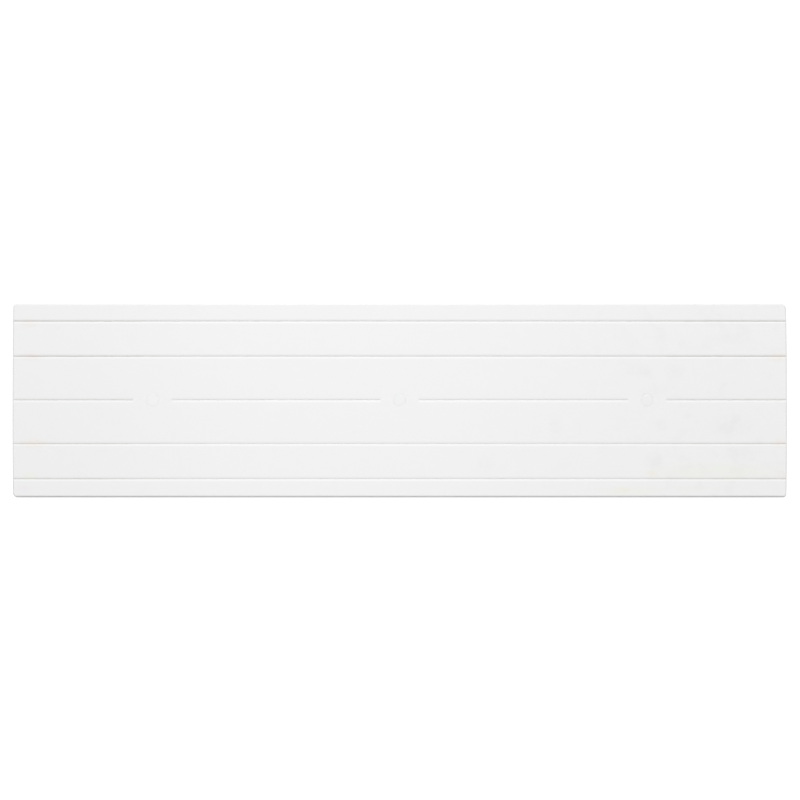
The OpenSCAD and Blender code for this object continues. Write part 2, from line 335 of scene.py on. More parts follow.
# Painted shade: the white fades darker towards the nose and towards the tail.
nose_shade_mask = deck_gel.spread(deck_gel.x, -0.1, 0.85)
tail_shade_mask = deck_gel.spread(deck_gel.x, -0.3, -0.9)
white = deck_gel.blend(nose_shade_mask, DECK_WHITE, NOSE_PAINTED_SHADE)
white = deck_gel.blend(tail_shade_mask, white, TAIL_PAINTED_SHADE)
mottle = deck_gel.spread(deck_gel.noise(MOTTLE_SIZE, 4), 0.5, 0.72)
mottle = deck_gel.maths("MULTIPLY", mottle, deck_gel.spread(deck_gel.x, 0.2, 0.8, 0.1, 0.5))
white = deck_gel.blend(mottle, white, MOTTLE_TINT, "MULTIPLY")
breakup = deck_gel.spread(deck_gel.noise(SPECKLE_SIZE, 4), 0.3, 0.7, 0.35, 1)
for (x, y), (reach_x, reach_y), tint in STAINS + SMUDGES:
    spot = deck_gel.node("ShaderNodeVectorMath", operation="LENGTH")
    deck_gel.feed(spot.inputs[0], deck_gel.mapped((reach_x, reach_y, 1), (x, y, z_deck)))
    strength = deck_gel.maths("MULTIPLY", deck_gel.spread(spot.outputs["Value"], 1.2, 0.2), breakup)
    white = deck_gel.blend(strength, white, rgb(*tint), "MULTIPLY")
# Dirt and painted shade in the slots: darker where the deck lies deeper, most at the two ends.
in_slot = deck_gel.spread(deck_gel.z, DIRT_AND_SHADE_FROM, DIRT_AND_SHADE_FULL)
from_middle = deck_gel.maths("ABSOLUTE", deck_gel.x)
in_slot = deck_gel.maths("MULTIPLY", in_slot, deck_gel.spread(from_middle, 0.45, 0.8, 0.1, 1))
on_top = deck_gel.maths("GREATER_THAN", deck_gel.z, z_ceiling + 1.5 * MM)
slot_dirt_and_shade = deck_gel.maths("MULTIPLY", in_slot, on_top)
white = deck_gel.blend(slot_dirt_and_shade, white, SLOT_DIRT_AND_SHADE, "MULTIPLY")
grip = deck_gel.relief(deck_gel.noise(GRIP_SIZE, 2), GRIP_DEPTH)
grip = deck_gel.relief(deck_gel.noise(WAVE_SIZE, 1), WAVE_DEPTH, grip)
satin = deck_gel.spread(deck_gel.noise(30 * MM, 5), 0.3, 0.7, 0.38, 0.5)
gelcoat = deck_gel.done(white, satin, grip)

# %% [markdown]
# ## Making a piece from a mesh under construction
# Every new piece ends the same way, so this helper is worth having first. Edges that turn sharply are
# marked sharp and the rest are shaded smooth. A Weighted Normal modifier then lets the large flat faces
# decide the shading, which keeps them flat beside their rounded edges. The piece rides on its body and
# stands for its CAD node.

# %% The piece helper
SHARP = math.radians(38)


def finish_piece(mesh, name, node, body, finish):
    """Turns a bmesh into a piece that stands for one CAD node."""
    loose = [edge for edge in mesh.edges if len(edge.link_faces) != 2]
    for edge in mesh.edges:
        edge.smooth = edge.calc_face_angle(0) < SHARP
    for face in mesh.faces:
        face.smooth = True
    triangles = sum(len(face.verts) - 2 for face in mesh.faces)
    data = bpy.data.meshes.new(name)
    mesh.to_mesh(data)
    mesh.free()
    piece = bpy.data.objects.new(name, data)
    data.materials.append(finish)
    scene.collection.objects.link(piece)
    shading = piece.modifiers.new("flat_faces_first", "WEIGHTED_NORMAL")
    shading.keep_sharp = True
    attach(piece, body)
    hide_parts(node)
    print("piece:", name, triangles, "triangles,", len(loose), "open edges")


# %% [markdown]
# ## Blocks, and faces that are pushed in
# The deck and the pan are thin shells with rounded corners. One way is a solid box hollowed with a
# boolean, which leaves a messy mesh. A cleaner one, used here, is to bevel a box's four upright edges
# to the corner radius, then inset its open side by the wall's thickness and push what is left of that
# face inwards. The same two moves make a step, a lap or a pocket.

# %% Block and pocket helpers
CORNER_STEPS = 8
FLAT_WITHIN = 1e-6


def round_edges(mesh, edges, radius, steps):
    bmesh.ops.bevel(
        mesh, geom=edges, offset=radius, offset_type="OFFSET", segments=steps,
        profile=0.5, affect="EDGES", material=-1, clamp_overlap=False,
    )


def flat_at(mesh, z, up=0):
    """Faces that lie flat at height z; up is 1 or -1 to take only those that face that way."""
    return [
        face
        for face in mesh.faces
        if all(abs(vert.co.z - z) < FLAT_WITHIN for vert in face.verts)
        and (not up or face.normal.z * up > 0.5)
    ]


def block(mesh, half_x, half_y, z_low, z_high, radius):
    """Upright box with four round corners."""
    middle = Matrix.Translation((0, 0, (z_low + z_high) / 2))
    size = Matrix.Diagonal((2 * half_x, 2 * half_y, z_high - z_low, 1))
    made = bmesh.ops.create_cube(mesh, size=1, matrix=middle @ size)
    edges = {edge for vert in made["verts"] for edge in vert.link_edges}
    upright = [edge for edge in edges if abs(edge.verts[0].co.z - edge.verts[1].co.z) > 0.1 * MM]
    round_edges(mesh, upright, radius, CORNER_STEPS)


def push_in(mesh, face, depth, narrower=0.0):
    """Sinks a face against its normal, or raises it where depth is negative, and narrows it."""
    bmesh.ops.inset_individual(mesh, faces=[face], thickness=narrower, depth=-depth, use_even_offset=True)


# %% [markdown]
# ## Openings in a flat face
# A round hole in a flat wall is the same job a dozen times here. The outline of each opening is drawn
# as a face of its own on the flat face, which is deleted and filled in again round the outlines. After
# that an outline can be pushed in as a pocket, or pushed until it meets the outline on the other side
# of the wall, where the two faces are taken out and their edges welded.

# %% Opening helpers
WELD_WITHIN = 0.05 * MM


def disc(mesh, x, y, z, radius, steps=64):
    made = bmesh.ops.create_circle(
        mesh, cap_ends=True, segments=steps, radius=radius, matrix=Matrix.Translation((x, y, z))
    )
    return made["verts"][0].link_faces[0]


def draw_on(mesh, face, outlines):
    """Fills a flat face in again round the outlines that are drawn on it."""
    normal = face.normal.copy()
    rims = list(face.edges)
    bmesh.ops.delete(mesh, geom=[face], context="FACES_ONLY")
    for outline in outlines:
        rims.extend(outline.edges)
    bmesh.ops.triangle_fill(mesh, use_beauty=True, use_dissolve=False, edges=rims, normal=normal)


def weld_through(mesh, first, second):
    """Takes out two outlines that have met, and welds their edges."""
    rims = {vert for face in (first, second) for vert in face.verts}
    bmesh.ops.delete(mesh, geom=[first, second], context="FACES_ONLY")
    bmesh.ops.remove_doubles(mesh, verts=list(rims), dist=WELD_WITHIN)


# %% [markdown]
# ## Deck moulding
# The deck is the part that a diver sees: a white lid with a rounded rim, five grooves that run its
# length, and three round openings for the bolts. It begins as a block with a bevelled rim, hollowed
# from its foot to leave the skirt. Its corners aren't all alike, because wear has rounded one and
# left another almost square, and both ends bow out a little between their corners. A straight wall has
# no points to bend at, so upright cuts are made in the two end walls first.

# %% Walls of the deck
SKIRT_WALL = 3.5 * MM
RIM_R = 3.5 * MM
CORNER_R = 9 * MM
NOSE_RADII = {1: 13 * MM, -1: 6 * MM}
END_BOW = 1.3 * MM
BOW_POWER = 2.5
END_ZONE = 20 * MM
RIM_STEPS = 6
ON_ARC = -0.02 * MM
CUT_WITHIN = 1e-7
TOWARDS = 0.05
SIDEWAYS = 0.01
END_CUTS = [y * MM for y in (-205, -165, -125, -85, -50, 0, 50, 85, 125, 165, 205)]
AXIS_Y = Vector((0, 1, 0))


def cut_faces(mesh, faces, axis, where):
    """Cuts some faces where a plane that stands square to an axis meets them."""
    near = {item for face in faces for item in (*face.verts, *face.edges)}
    bmesh.ops.bisect_plane(
        mesh, geom=[*near, *faces], dist=CUT_WITHIN, plane_co=axis * where, plane_no=axis
    )


def cut_ends(mesh):
    """Cuts the faces that look along X and not sideways, which are the two end walls and their rims."""
    mesh.normal_update()
    for y in END_CUTS:
        ends = [f for f in mesh.faces if abs(f.normal.x) > TOWARDS and abs(f.normal.y) < SIDEWAYS]
        cut_faces(mesh, ends, AXIS_Y, y)


def weather(verts):
    """Gives the two nose corners radii of their own, and bows both ends out between their corners."""
    for vert in verts:
        for side, radius in NOSE_RADII.items():
            arm = Vector((vert.co.x - half_l + CORNER_R, side * vert.co.y - half_w + CORNER_R))
            if min(arm) > ON_ARC:
                arm *= 1 + (radius - CORNER_R) / arm.length
                vert.co.x = half_l - radius + arm.x
                vert.co.y = side * (half_w - radius + arm.y)
        if abs(vert.co.x) > half_l - END_ZONE:
            vert.co.x -= math.copysign(END_BOW * abs(vert.co.y / half_w) ** BOW_POWER, vert.co.x)


deck = bmesh.new()
block(deck, half_l, half_w, z_seam, z_deck, CORNER_R)
round_edges(deck, list(flat_at(deck, z_deck)[0].edges), RIM_R, RIM_STEPS)
cut_ends(deck)
outside = list(deck.verts)
foot = flat_at(deck, z_seam)[0]
push_in(deck, foot, 0, SKIRT_WALL)
push_in(deck, foot, z_ceiling - z_seam)
weather(outside)
deck.normal_update()
print("deck walls:", len(deck.faces), "faces")

# %% [markdown]
# ## Grooves
# A groove has a gentle ease on both sides and a narrow slot in the middle. It could be cut with a
# boolean, but the mesh already has a flat top, so it is enough to slice the top along the lines where
# the section changes, and lower what lies between them. The two slots on the +Y side are a little deeper
# than the others. The middle groove stops short of each opening in a half-round end, which is the same
# section measured from the end's centre.

# %% Slice and lower the grooves
AXIS_X = Vector((1, 0, 0))
GROOVE_Y = (-186.5 * MM, -103.4 * MM, 0, 103.4 * MM, 186.5 * MM)
GROOVE_STOP = 47.8 * MM
FLOOR_HALF = 0.91 * MM
SLOT_HALF = 1.3 * MM
EASE_HALF = 6.0 * MM
GROOVE_LINES = [FLOOR_HALF, SLOT_HALF, 2.1 * MM, 3.0 * MM, 3.9 * MM, 4.9 * MM, EASE_HALF]
EASE_DEPTH = 0.7 * MM
EASE_POWER = 1.15
SLOT_DEPTHS = dict(zip(GROOVE_Y, (1.8 * MM, 1.8 * MM, 1.8 * MM, 2.5 * MM, 2.5 * MM)))
LAND_HALF_Y = 22 * MM


def slice_top(axis, where):
    """Cuts the deck's outward top faces along one straight line."""
    top = [f for f in deck.faces if f.normal.z > TOWARDS and f.calc_center_median().z > z_ceiling]
    cut_faces(deck, top, axis, where)


def groove_depth(x, y):
    """How far the deck is sunk at a point, by the nearest groove."""
    nearest = min(GROOVE_Y, key=lambda line: abs(y - line))
    off = abs(y - nearest)
    slot_depth = SLOT_DEPTHS[nearest]
    if nearest == 0:
        past = max(GROOVE_STOP - min(abs(x - at) for at in station_x.values()), 0)
        off = math.hypot(past, y)
    if off >= EASE_HALF - CUT_WITHIN:
        return 0
    if off >= SLOT_HALF - CUT_WITHIN:
        return EASE_DEPTH * ((EASE_HALF - off) / (EASE_HALF - SLOT_HALF)) ** EASE_POWER
    if off > FLOOR_HALF + CUT_WITHIN:
        return EASE_DEPTH + (slot_depth - EASE_DEPTH) * (SLOT_HALF - off) / (SLOT_HALF - FLOOR_HALF)
    return slot_depth


for line in GROOVE_Y:
    for off in (0, *GROOVE_LINES):
        for side in (-1, 1) if off else (1,):
            slice_top(AXIS_Y, line + side * off)
for side in (-1, 1):
    slice_top(AXIS_Y, side * LAND_HALF_Y)
    slice_top(AXIS_Y, side * (half_w - RIM_R - MM))
    slice_top(AXIS_X, side * (half_l - RIM_R - END_BOW - MM))
    for at in station_x.values():
        for off in (0, *GROOVE_LINES):
            slice_top(AXIS_X, at + side * (GROOVE_STOP - off))
for vert in deck.verts:
    if vert.co.z > z_ceiling + 0.1 * MM:
        vert.co.z = min(vert.co.z, z_deck - groove_depth(vert.co.x, vert.co.y))
print("grooved deck:", len(deck.faces), "faces")

# %% [markdown]
# ## Openings of the deck
# Each cap drops into a round well with a softened lip. The plain land between two groove ends is made
# one face again, the lip's circle is drawn on it, and two small steps down make the softened edge.

# %% Open the cap wells
WELL_R = 14.4 * MM
LIP = 0.16 * MM
LIP_SMALL = 0.05 * MM
LIP_LARGE = 0.11 * MM
LAND_HALF_X = GROOVE_STOP - EASE_HALF
ceiling = max(flat_at(deck, z_ceiling, -1), key=lambda face: face.calc_area())
well_feet = [disc(deck, at, 0, z_ceiling, WELL_R) for at in station_x.values()]
draw_on(deck, ceiling, well_feet)
well_mouths = []
for at in station_x.values():
    patch = []
    for face in flat_at(deck, z_deck, 1):
        middle = face.calc_center_median()
        if abs(middle.x - at) < LAND_HALF_X and abs(middle.y) < LAND_HALF_Y:
            patch.append(face)
    land = bmesh.ops.dissolve_faces(deck, faces=patch)["region"][0]
    mouth = disc(deck, at, 0, z_deck, WELL_R + LIP)
    draw_on(deck, land, [mouth])
    well_mouths.append(mouth)
bmesh.ops.recalc_face_normals(deck, faces=deck.faces)
for mouth, foot in zip(well_mouths, well_feet):
    push_in(deck, mouth, LIP_SMALL, LIP_LARGE)
    push_in(deck, mouth, LIP_LARGE, LIP_SMALL)
    push_in(deck, mouth, z_deck - LIP - z_ceiling)
    weld_through(deck, mouth, foot)
bmesh.ops.recalc_face_normals(deck, faces=deck.faces)
finish_piece(deck, "grooved_deck", "deck_shell", "board", gelcoat)

# %% [markdown]
# ## Finish of the pan
# The underside is white gelcoat too, but it was laid by hand and never faces the sun. The weave of the
# glass cloth prints through it as a fine grid, which two crossed sets of bands give. It is glossier than
# the deck, a little grey with splashes of dried water, and scuffed darker round each pad.

# %% White gelcoat over glass cloth
WEAVE = 4 * MM
PAN_WHITE = rgb(0.80, 0.80, 0.79)
SPLASHED = rgb(0.735, 0.73, 0.71)
SPECK = rgb(0.62, 0.60, 0.56)
RUBBED = rgb(0.58, 0.58, 0.57)
RUB_FADES_X = (52 * MM, 40 * MM)
RUB_FADES_Y = (204 * MM, 192 * MM)
pan_gel = Finish("white_gelcoat_over_cloth", Coat_Weight=0.25, Coat_Roughness=0.15)


def woven(finish, pitch):
    """Height of a plain weave: two crossed sets of bands, multiplied."""
    bands = []
    for axis in (finish.x, finish.y):
        turns = finish.maths("MULTIPLY", axis, 2 * math.pi / pitch)
        bands.append(finish.maths("SINE", turns))
    return finish.spread(finish.maths("MULTIPLY", *bands), -1, 1)


splashes = pan_gel.spread(pan_gel.noise(70 * MM, 5), 0.52, 0.66)
under = pan_gel.blend(splashes, PAN_WHITE, SPLASHED)
specks = pan_gel.spread(pan_gel.noise(6 * MM, 2), 0.68, 0.74, 0, 0.5)
under = pan_gel.blend(specks, under, SPECK)
for at in station_x.values():
    off_x = pan_gel.maths("ABSOLUTE", pan_gel.maths("SUBTRACT", pan_gel.x, at))
    off_y = pan_gel.maths("ABSOLUTE", pan_gel.y)
    near_x = pan_gel.spread(off_x, *RUB_FADES_X)
    near_y = pan_gel.spread(off_y, *RUB_FADES_Y)
    patchy = pan_gel.spread(pan_gel.noise(20 * MM), 0.35, 0.65, 0.2, 0.8)
    rubbed = pan_gel.maths("MULTIPLY", pan_gel.maths("MULTIPLY", near_x, near_y), patchy)
    under = pan_gel.blend(rubbed, under, RUBBED)
cloth = pan_gel.relief(woven(pan_gel, WEAVE), 0.05 * MM)
cloth = pan_gel.relief(pan_gel.noise(50 * MM, 2), 0.4 * MM, cloth)
pan_satin = pan_gel.spread(pan_gel.noise(40 * MM, 4), 0.3, 0.7, 0.26, 0.4)
pan_gelcoat = pan_gel.done(under, pan_satin, cloth)

# %% [markdown]
# ## Pan moulding
# The pan is the tray that the deck's skirt closes over. The part that shows is flush with the deck; above
# the seam its wall steps in and rises inside the skirt up to the deck. It is one block again: its top is
# inset and raised to make the step, then inset and sunk to make the tray. Its floor lets three necks and
# twelve screws through.

# %% Make the pan
PAN_WALL = 3 * MM
SEAM_GAP = 1.2 * MM
NECK_HOLE_R = 10.1 * MM
SCREW_HOLE_R = 2.6 * MM
HOLE_STEPS = 32
SCREW_AT = [(x * MM, y * MM) for x in (-27, 27) for y in (-161.45, 161.45)]
z_ledge = z_seam - SEAM_GAP
z_floor = z_base + PAN_WALL
pan = bmesh.new()
block(pan, half_l, half_w, z_base, z_ledge, CORNER_R)
round_edges(pan, list(flat_at(pan, z_base)[0].edges), RIM_R, RIM_STEPS)
cut_ends(pan)
outside = list(pan.verts)
tray = flat_at(pan, z_ledge)[0]
push_in(pan, tray, 0, SKIRT_WALL)
push_in(pan, tray, z_ledge - z_ceiling)
push_in(pan, tray, 0, PAN_WALL)
push_in(pan, tray, z_ceiling - z_floor)
weather(outside)
pan.normal_update()
holes = [(at, 0, NECK_HOLE_R) for at in station_x.values()]
holes += [(at + x, y, SCREW_HOLE_R) for at in station_x.values() for x, y in SCREW_AT]
below = [disc(pan, x, y, z_base, radius, HOLE_STEPS) for x, y, radius in holes]
draw_on(pan, max(flat_at(pan, z_base), key=lambda face: face.calc_area()), below)
above = [disc(pan, x, y, z_floor, radius, HOLE_STEPS) for x, y, radius in holes]
draw_on(pan, tray, above)
bmesh.ops.recalc_face_normals(pan, faces=pan.faces)
for low, high in zip(below, above):
    push_in(pan, low, PAN_WALL)
    weld_through(pan, low, high)
finish_piece(pan, "pan_moulding", "pan_shell", "board", pan_gelcoat)

# %% [markdown]
# ## Turned pieces
# Caps, cups and screws are all round. Their section is a line of points from the axis outwards and
# back, which a full spin turns into a closed solid. The two ends of the line lie on the axis or meet
# each other, so welding the doubles closes the form, and the normals are then made to point outwards.

# %% The turning helper
TURN_WELD = 0.001 * MM


def turned(mesh, section, steps, x=0.0, y=0.0, closed=False):
    """Spins a section of (radius, height) points, in millimetres, about an upright axis at x, y."""
    verts = [mesh.verts.new((x + r * MM, y, z * MM)) for r, z in section]
    pairs = list(zip(verts, verts[1:] + verts[:1] if closed else verts[1:]))
    edges = [mesh.edges.new(pair) for pair in pairs]
    bmesh.ops.spin(
        mesh, geom=verts + edges, cent=(x, y, 0), axis=(0, 0, 1), angle=2 * math.pi,
        steps=steps, use_merge=True, use_duplicate=False,
    )
    bmesh.ops.remove_doubles(mesh, verts=mesh.verts, dist=TURN_WELD)
    bmesh.ops.recalc_face_normals(mesh, faces=mesh.faces)


# %% [markdown]
# ## Hole caps
# A cap is moulded in white plastic: a disc that all but fills the well, on a hollow plug with a groove
# for its seal. It was pressed home a little unevenly, so its shoulder sits lowest on the +Y side, and
# there the light catches it. A shallow scoop at the other side takes a fingernail. Its plastic is a
# close match to the deck, with fine scuffs and a trace of dirt at the edge. Towards the nose it is
# painted a little darker, which is painted shade like the deck's.

# %% White cap plastic
CAP_WHITE = rgb(0.812, 0.812, 0.812)
CAP_SCUFFED = rgb(0.79, 0.79, 0.79)
# Painted shade: the caps darken towards the nose like the deck's white.
CAP_NOSE_SHADE = rgb(0.965, 0.965, 0.965)
CAP_DIRT = rgb(0.6, 0.59, 0.56)
SCUFF_SIZE = (12 * MM, 1.2 * MM, 10 * MM)
DIRT_RING = (13.9 * MM, 14.3 * MM)
cap_plastic = Finish("white_cap_plastic", Coat_Weight=0.08, Coat_Roughness=0.3)
half_pitch = (station_x["nose"] - station_x["mid"]) / 2


def own_radius(finish):
    """Distance from the nearest station's axis."""
    own_x = finish.maths("WRAP", finish.x, half_pitch, -half_pitch)
    squares = [finish.maths("POWER", finish.maths("ABSOLUTE", axis), 2) for axis in (own_x, finish.y)]
    return finish.maths("SQRT", finish.maths("ADD", *squares))


scuffs = cap_plastic.noise(1, 3, cap_plastic.mapped(SCUFF_SIZE, turn=(0, 0, 0.6)))
cap_white = cap_plastic.blend(cap_plastic.spread(scuffs, 0.5, 0.75), CAP_WHITE, CAP_SCUFFED)
# Painted shade towards the nose, matching the deck.
cap_nose_shade_mask = cap_plastic.spread(cap_plastic.x, -0.1, 0.7)
cap_white = cap_plastic.blend(cap_nose_shade_mask, cap_white, CAP_NOSE_SHADE, "MULTIPLY")
edge_dirt = cap_plastic.spread(own_radius(cap_plastic), *DIRT_RING, 0, 0.12)
cap_white = cap_plastic.blend(edge_dirt, cap_white, CAP_DIRT)
cap_grain = cap_plastic.relief(cap_plastic.noise(0.9 * MM, 2), 0.015 * MM)
cap_satin = cap_plastic.spread(scuffs, 0.3, 0.7, 0.36, 0.5)
cap_white_finish = cap_plastic.done(cap_white, cap_satin, cap_grain)

# %% Turn the caps
CAP_R = 14.34
CAP_TOP = 48.95
CAP_STEPS = 64
TOP_FROM = 48.5
SHOULDER_FROM = 11.6
SHOULDER_DROP = 0.5
SHOULDER_POWER = 1.3
SCOOP_R = 2.4
SCOOP_DEPTH = 0.5
CAP_SECTION = [
    (0, 46.4), (7.6, 46.4), (8.4, 45.6), (8.4, 35.9), (8.7, 35.5), (10.9, 35.5), (11.6, 36.3), (11.6, 39.9),
    (9.9, 39.9), (9.9, 41.9), (11.6, 41.9), (11.6, 43.7), (11.9, 44.0), (14.1, 44.0), (CAP_R, 44.2),
    (CAP_R, 48.0), (CAP_R, 48.8),
    *[(radius, CAP_TOP) for radius in (14.25, 13.7, 13.1, 12.5, 11.9, 11.2, 10.4, 8, 0)],
]
for station, at in station_x.items():
    cap = bmesh.new()
    turned(cap, CAP_SECTION, CAP_STEPS, at)
    for vert in cap.verts:
        if vert.co.z > TOP_FROM * MM:
            reach = math.hypot(vert.co.x - at, vert.co.y) / MM
            shoulder = min(max((reach - SHOULDER_FROM) / (CAP_R - SHOULDER_FROM), 0), 1) ** SHOULDER_POWER
            lower_side = 0.5 + 0.5 * vert.co.y / MM / max(reach, 1)
            scoop = 1 - min(math.hypot(vert.co.x - at, vert.co.y + CAP_R * MM) / (SCOOP_R * MM), 1) ** 2
            vert.co.z -= (SHOULDER_DROP * shoulder * lower_side + SCOOP_DEPTH * scoop) * MM
    finish_piece(cap, "press_cap_" + station, "hole_cap_" + station, station + "_cap", cap_white_finish)

# %% [markdown]
# ## Cap seals
# The seal is a plain round ring, which the frame already has in its true shape. So the node stays and
# only gets its rubber: nearly black, with the greyish bloom that rubber sweats out in damp places.

# %% Black seal rubber
def dress(prefix, finish):
    """Gives a finish to every frame node whose name starts with prefix."""
    names = [name for name in frame["nodes"] if name.startswith(prefix)]
    for name in names:
        frame["nodes"][name].data.materials.clear()
        frame["nodes"][name].data.materials.append(finish)
    print("dressed", len(names), prefix)


SEAL_BLACK = rgb(0.028, 0.028, 0.03)
SEAL_BLOOM = rgb(0.075, 0.075, 0.078)
ring_rubber = Finish("bloomed_seal_rubber", Sheen_Weight=0.1)
bloom = ring_rubber.spread(ring_rubber.noise(2 * MM, 3), 0.45, 0.7)
ring_black = ring_rubber.blend(bloom, SEAL_BLACK, SEAL_BLOOM)
ring_skin = ring_rubber.relief(ring_rubber.noise(0.35 * MM, 2), 0.03 * MM)
dress("cap_seal", ring_rubber.done(ring_black, ring_rubber.spread(bloom, 0, 1, 0.45, 0.7), ring_skin))

# %% [markdown]
# ## Bolt sleeves
# Under each cap is a cup of stainless steel, turned from bar, which takes the bolt's head. Its neck goes
# down through the board. Turning leaves fine rings, so the bump is noise on the distance from the axis,
# and every lip has a small chamfer, because nothing turned has a truly sharp edge.

# %% Turned stainless steel
STEEL_DARK = rgb(0.60, 0.60, 0.59)
STEEL_BRIGHT = rgb(0.72, 0.715, 0.70)
WATER_MARK = rgb(0.50, 0.48, 0.44)
turned_steel = Finish("turned_stainless", Metallic=1.0)
tool_marks = turned_steel.node("ShaderNodeCombineXYZ")
turned_steel.feed(tool_marks.inputs[0], own_radius(turned_steel))
turned_steel.feed(tool_marks.inputs[2], turned_steel.z)
rings = turned_steel.noise(0.35 * MM, 2, tool_marks.outputs[0])
water_spots = turned_steel.spread(turned_steel.noise(5 * MM, 3), 0.55, 0.68)
steel = turned_steel.blend(rings, STEEL_DARK, STEEL_BRIGHT)
steel = turned_steel.blend(water_spots, steel, WATER_MARK)
steel_rough = turned_steel.spread(water_spots, 0, 1, 0.27, 0.48)
turned_finish = turned_steel.done(steel, steel_rough, turned_steel.relief(rings, 0.03 * MM))

# %% Turn the sleeves
SLEEVE_STEPS = 64
SLEEVE_SECTION = [
    (6.75, 5.4), (7.15, 5.0), (9.6, 5.0), (10.0, 5.4), (10.0, 24.0), (13.5, 24.0), (14.0, 24.5),
    (14.0, 42.5), (22.8, 42.5), (23.0, 42.7), (23.0, 43.8), (22.8, 44.0), (12.4, 44.0), (12.0, 43.6),
    (12.0, 26.5), (11.5, 26.0), (7.15, 26.0), (6.75, 25.6),
]
for station, at in station_x.items():
    sleeve = bmesh.new()
    turned(sleeve, SLEEVE_SECTION, SLEEVE_STEPS, at, closed=True)
    finish_piece(sleeve, "turned_cup_" + station, "bolt_sleeve_" + station, "board", turned_finish)

# %% [markdown]
# ## Rubber pads
# The pads are moulded black rubber with six channels between seven ribs on their underside, which grip
# the stand and let water out. Four recesses hide the screw heads, and a hole clears the sleeve's neck.
# Every one of those is an outline that is drawn on the pad's flat underside and then pushed in.

# %% Dusty black rubber
PAD_BLACK = rgb(0.04, 0.04, 0.042)
PAD_DUST = rgb(0.115, 0.11, 0.10)
PAD_WORN = rgb(0.15, 0.145, 0.14)
pad_rubber = Finish("dusty_pad_rubber", Sheen_Weight=0.2)
dust = pad_rubber.spread(pad_rubber.noise(30 * MM, 5), 0.4, 0.7)
rubber = pad_rubber.blend(dust, PAD_BLACK, PAD_DUST)
worn = pad_rubber.spread(pad_rubber.z, 0.5 * MM, 0, 0, 0.6)
worn = pad_rubber.maths("MULTIPLY", worn, pad_rubber.spread(pad_rubber.noise(8 * MM, 3), 0.35, 0.65))
rubber = pad_rubber.blend(worn, rubber, PAD_WORN)
pores = pad_rubber.relief(pad_rubber.noise(0.8 * MM, 3), 0.08 * MM)
pad_black = pad_rubber.done(rubber, pad_rubber.spread(dust, 0, 1, 0.62, 0.9), pores)

# %% Mould the pads
PAD_CORNER_R = 8 * MM
RIB_COUNT = 7
CHANNEL_DEPTH = 1.2 * MM
CHANNEL_HALF_Y = 145 * MM
CHANNEL_DRAFT = 0.25 * MM
PAD_RIM_R = 0.5 * MM
RECESS_R = 5.6 * MM
RECESS_DEPTH = 2.6 * MM
NECK_CLEAR_R = 12 * MM
NECK_LAND = 17 * MM
NECK_STEPS = 48


def channel(mesh, x, y_from, y_to, width, z):
    """Outline of a channel with rounded ends, drawn at height z."""
    place = Matrix.Translation((x, (y_from + y_to) / 2, z)) @ Matrix.Diagonal((width, y_to - y_from, 1, 1))
    made = bmesh.ops.create_grid(mesh, x_segments=1, y_segments=1, size=0.5, matrix=place)
    ends = bmesh.ops.bevel(
        mesh, geom=made["verts"], offset=0.3 * width, offset_type="OFFSET", segments=3,
        profile=0.5, affect="VERTICES", material=-1,
    )
    return ends["verts"][0].link_faces[0]


for station, at in station_x.items():
    pad_lo, pad_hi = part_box("rubber_pad_" + station)
    pad_half_l = (pad_hi.x - pad_lo.x) / 2
    pitch = 2 * pad_half_l / RIB_COUNT
    pad = bmesh.new()
    block(pad, pad_half_l, pad_hi.y, 0, pad_hi.z, PAD_CORNER_R)
    for z in (0, pad_hi.z):
        round_edges(pad, list(flat_at(pad, z)[0].edges), PAD_RIM_R, 2)
    pad.normal_update()
    sole = max(flat_at(pad, 0), key=lambda face: face.calc_area())
    back = max(flat_at(pad, pad_hi.z), key=lambda face: face.calc_area())
    recesses = [disc(pad, x, y, 0, RECESS_R, HOLE_STEPS) for x, y in SCREW_AT]
    neck_low = disc(pad, 0, 0, 0, NECK_CLEAR_R, NECK_STEPS)
    channels = []
    for rib in range(1, RIB_COUNT):
        x = rib * pitch - pad_half_l
        cut_short = abs(x) < NECK_CLEAR_R
        spans = [(-CHANNEL_HALF_Y, -NECK_LAND), (NECK_LAND, CHANNEL_HALF_Y)]
        for y_from, y_to in spans if cut_short else [(-CHANNEL_HALF_Y, CHANNEL_HALF_Y)]:
            channels.append(channel(pad, x, y_from, y_to, pitch / 3, 0))
    draw_on(pad, sole, [*recesses, neck_low, *channels])
    screw_high = [disc(pad, x, y, pad_hi.z, SCREW_HOLE_R, HOLE_STEPS) for x, y in SCREW_AT]
    neck_high = disc(pad, 0, 0, pad_hi.z, NECK_CLEAR_R, NECK_STEPS)
    draw_on(pad, back, [*screw_high, neck_high])
    bmesh.ops.recalc_face_normals(pad, faces=pad.faces)
    for hollow in channels:
        push_in(pad, hollow, CHANNEL_DEPTH, CHANNEL_DRAFT)
    for recess, high in zip(recesses, screw_high):
        push_in(pad, recess, RECESS_DEPTH)
        push_in(pad, recess, 0, RECESS_R - SCREW_HOLE_R)
        push_in(pad, recess, pad_hi.z - RECESS_DEPTH)
        weld_through(pad, recess, high)
    push_in(pad, neck_low, pad_hi.z)
    weld_through(pad, neck_low, neck_high)
    bmesh.ops.translate(pad, vec=(at, 0, 0), verts=pad.verts)
    finish_piece(pad, "ribbed_pad_" + station, "rubber_pad_" + station, "board", pad_black)

# %% [markdown]
# ## Pad screws
# Each pad is held by four stainless screws with low round heads. A head is a short turned section, and
# its drive is a six-sided outline that is drawn on the head and pushed in. The shank has a ridge for
# each turn of the thread, because a real spiral would be hidden in the wood. One screw is made and then
# copied to its four places.

